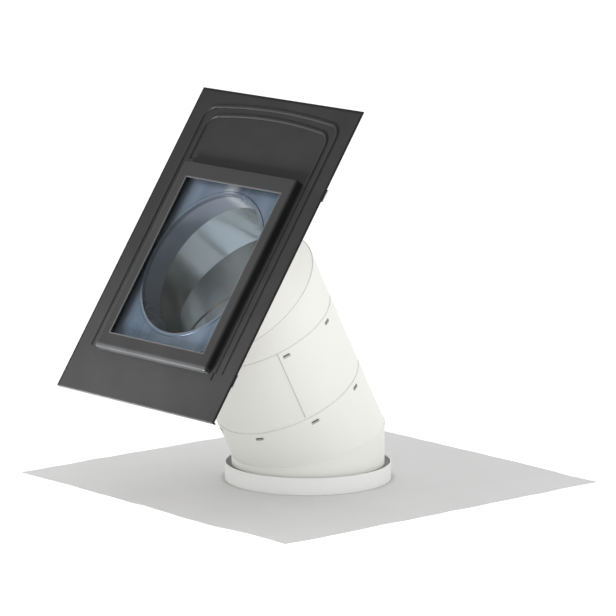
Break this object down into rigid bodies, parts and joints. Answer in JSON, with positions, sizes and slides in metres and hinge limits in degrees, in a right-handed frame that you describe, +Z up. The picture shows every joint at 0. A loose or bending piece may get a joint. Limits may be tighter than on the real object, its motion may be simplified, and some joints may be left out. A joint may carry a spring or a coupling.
{
  "type": "tubular skylight",
  "caption": "Tubular skylight for a pitched roof: a sheet with a framed pane, elbows and a tube down to a ceiling ring with a dished lens, and a square membrane above the ceiling.",
  "frame": {"origin": "on the tunnel's upright axis, in the plane of the ceiling's underside", "axes": "+Z up; the roof slopes down towards -Y; +X along the eave"},
  "size_m": [0.932, 0.9736, 0.9358],
  "materials": {
    "roof_sheet": "moulded dark grey plastic, fine satin skin",
    "cover_metal": "dark grey lacquered sheet",
    "glass_pane": "clear toughened glass",
    "gasket": "black rubber",
    "mirror_tray": "bright mirror-coated sheet",
    "tunnel": "off-white coated outside, mirror inside",
    "tunnel_ring": "off-white plastic",
    "foam": "closed-cell foam",
    "base_frame": "planed softwood",
    "bracket": "galvanised steel",
    "screws": "zinc-plated steel",
    "membrane": "soft grey vapour membrane",
    "collar": "off-white soft plastic",
    "ceiling_ring": "white moulded plastic",
    "diffuser_lens": "pale blue translucent plastic"
  },
  "bodies": {
    "root": {"roof_sheet": "roof_sheet", "mirror_tray": "mirror_tray", "glass_seat_gasket": "gasket", "glass_top_gasket": "gasket", "glass_pane": "glass_pane", "cover_left": "cover_metal", "cover_right": "cover_metal", "cover_bottom": "cover_metal", "cover_top": "cover_metal", "base_frame": "base_frame", "roof_bracket_1": "bracket", "roof_bracket_2": "bracket", "roof_bracket_3": "bracket", "roof_bracket_4": "bracket", "bracket_screws": "screws", "tunnel_ring": "tunnel_ring", "ring_seal": "foam", "upper_elbow_upper_shell": "tunnel", "upper_elbow_lower_shell": "tunnel", "straight_tube": "tunnel", "lower_elbow_upper_shell": "tunnel", "lower_elbow_lower_shell": "tunnel", "membrane_sheet": "membrane", "membrane_collar": "collar", "collar_seal": "foam", "ceiling_ring": "ceiling_ring", "diffuser_lens": "diffuser_lens", "diffuser_seal": "gasket"}
  },
  "joints": []
}
